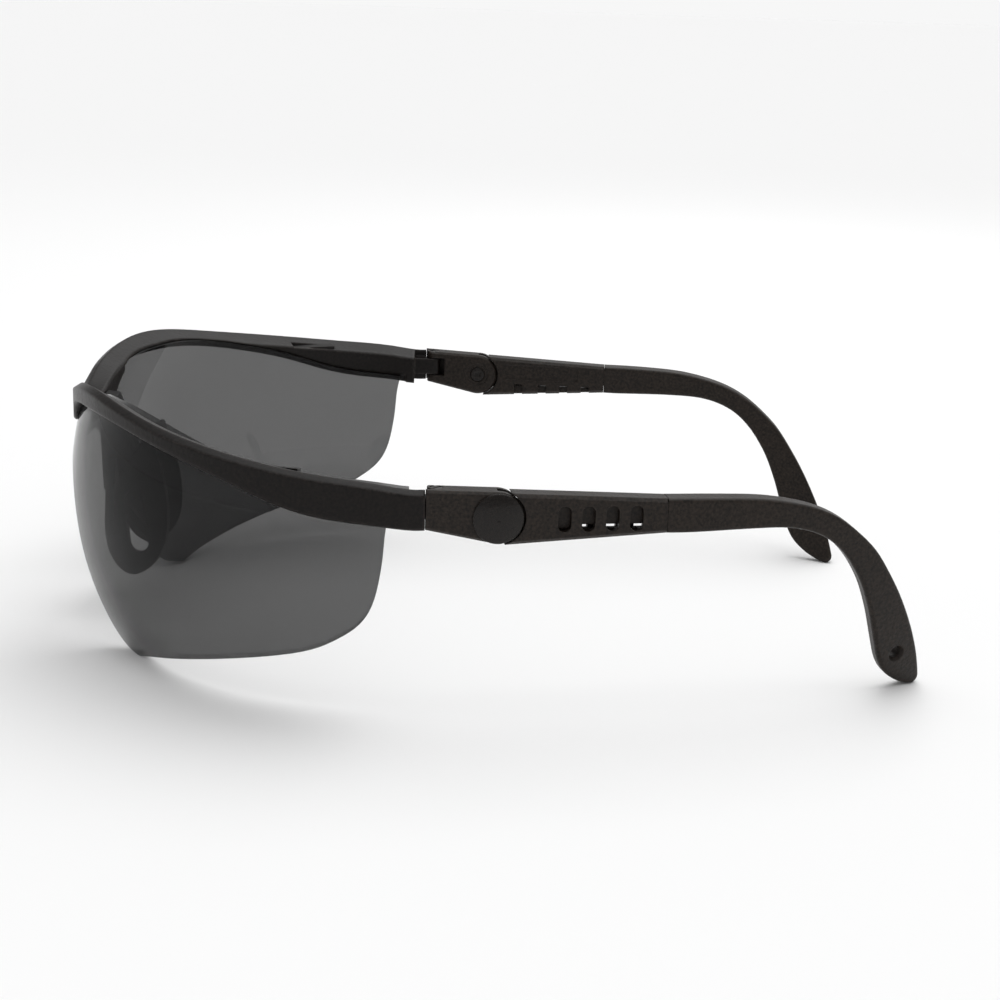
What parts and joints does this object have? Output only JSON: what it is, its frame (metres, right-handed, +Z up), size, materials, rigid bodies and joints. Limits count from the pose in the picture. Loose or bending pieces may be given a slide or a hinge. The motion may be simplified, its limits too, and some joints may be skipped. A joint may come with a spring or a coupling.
{
  "type": "safety glasses",
  "caption": "Half-rim wrap-around safety glasses: smoke spherical lens under a moulded brow bar, soft nose pads, temples that fold, tilt on a ratchet and slide in length",
  "frame": {"origin": "on the floor, at the middle of the bounding box seen from above, with the temples open", "axes": "+X is the wearer's left, -Y is the way the wearer faces with the temples running to +Y, +Z is up"},
  "size_m": [0.1314, 0.166, 0.0522],
  "materials": {
    "frame_plastic": "moulded charcoal-brown polycarbonate with a satin sheen",
    "temple_plastic": "moulded charcoal-brown nylon with a fine spark-eroded grain",
    "carrier_plastic": "smooth black moulded plastic",
    "cap_plastic": "smooth dark button",
    "clip_plastic": "plain dark plastic",
    "smoke_lens": "clear grey smoke polycarbonate, polished",
    "pad_rubber": "soft black elastomer",
    "dark_steel": "dark oxide screw",
    "spring_steel": "bright spring strip"
  },
  "bodies": {
    "front": {"brow_frame": "frame_plastic", "lens": "smoke_lens", "nose_bridge": "carrier_plastic", "left_nose_pad": "pad_rubber", "right_nose_pad": "pad_rubber", "left_lens_clip": "clip_plastic", "right_lens_clip": "clip_plastic"},
    "left_knuckle": {"left_endpiece": "temple_plastic", "left_hinge_pin": "dark_steel", "left_pivot_pin": "cap_plastic", "left_pivot_cap": "cap_plastic", "left_ratchet_spring": "spring_steel"},
    "left_middle": {"left_sleeve": "temple_plastic"},
    "left_hook": {"left_temple_tip": "temple_plastic"},
    "right_knuckle": {"right_endpiece": "temple_plastic", "right_hinge_pin": "dark_steel", "right_pivot_pin": "cap_plastic", "right_pivot_cap": "cap_plastic", "right_ratchet_spring": "spring_steel"},
    "right_middle": {"right_sleeve": "temple_plastic"},
    "right_hook": {"right_temple_tip": "temple_plastic"}
  },
  "joints": [
    {"name": "left_fold", "type": "hinge", "parent": "front", "child": "left_knuckle", "pos_m": [0.06259, -0.00983, 0.03975], "axis": [0, 0, 1], "range_deg": [0, 84]},
    {"name": "left_tilt", "type": "hinge", "parent": "left_knuckle", "child": "left_middle", "pos_m": [0.06201, 0.00067, 0.03828], "axis": [0.9937, 0.1125, 0], "range_deg": [-12, 12]},
    {"name": "left_length", "type": "slide", "parent": "left_middle", "child": "left_hook", "axis": [-0.1125, 0.9937, 0], "range_m": [0, 0.01275]},
    {"name": "right_fold", "type": "hinge", "parent": "front", "child": "right_knuckle", "pos_m": [-0.06259, -0.00983, 0.03975], "axis": [0, 0, -1], "range_deg": [0, 76]},
    {"name": "right_tilt", "type": "hinge", "parent": "right_knuckle", "child": "right_middle", "pos_m": [-0.06201, 0.00067, 0.03828], "axis": [0.9937, -0.1125, 0], "range_deg": [-12, 12]},
    {"name": "right_length", "type": "slide", "parent": "right_middle", "child": "right_hook", "axis": [0.1125, 0.9937, 0], "range_m": [0, 0.01275]}
  ]
}
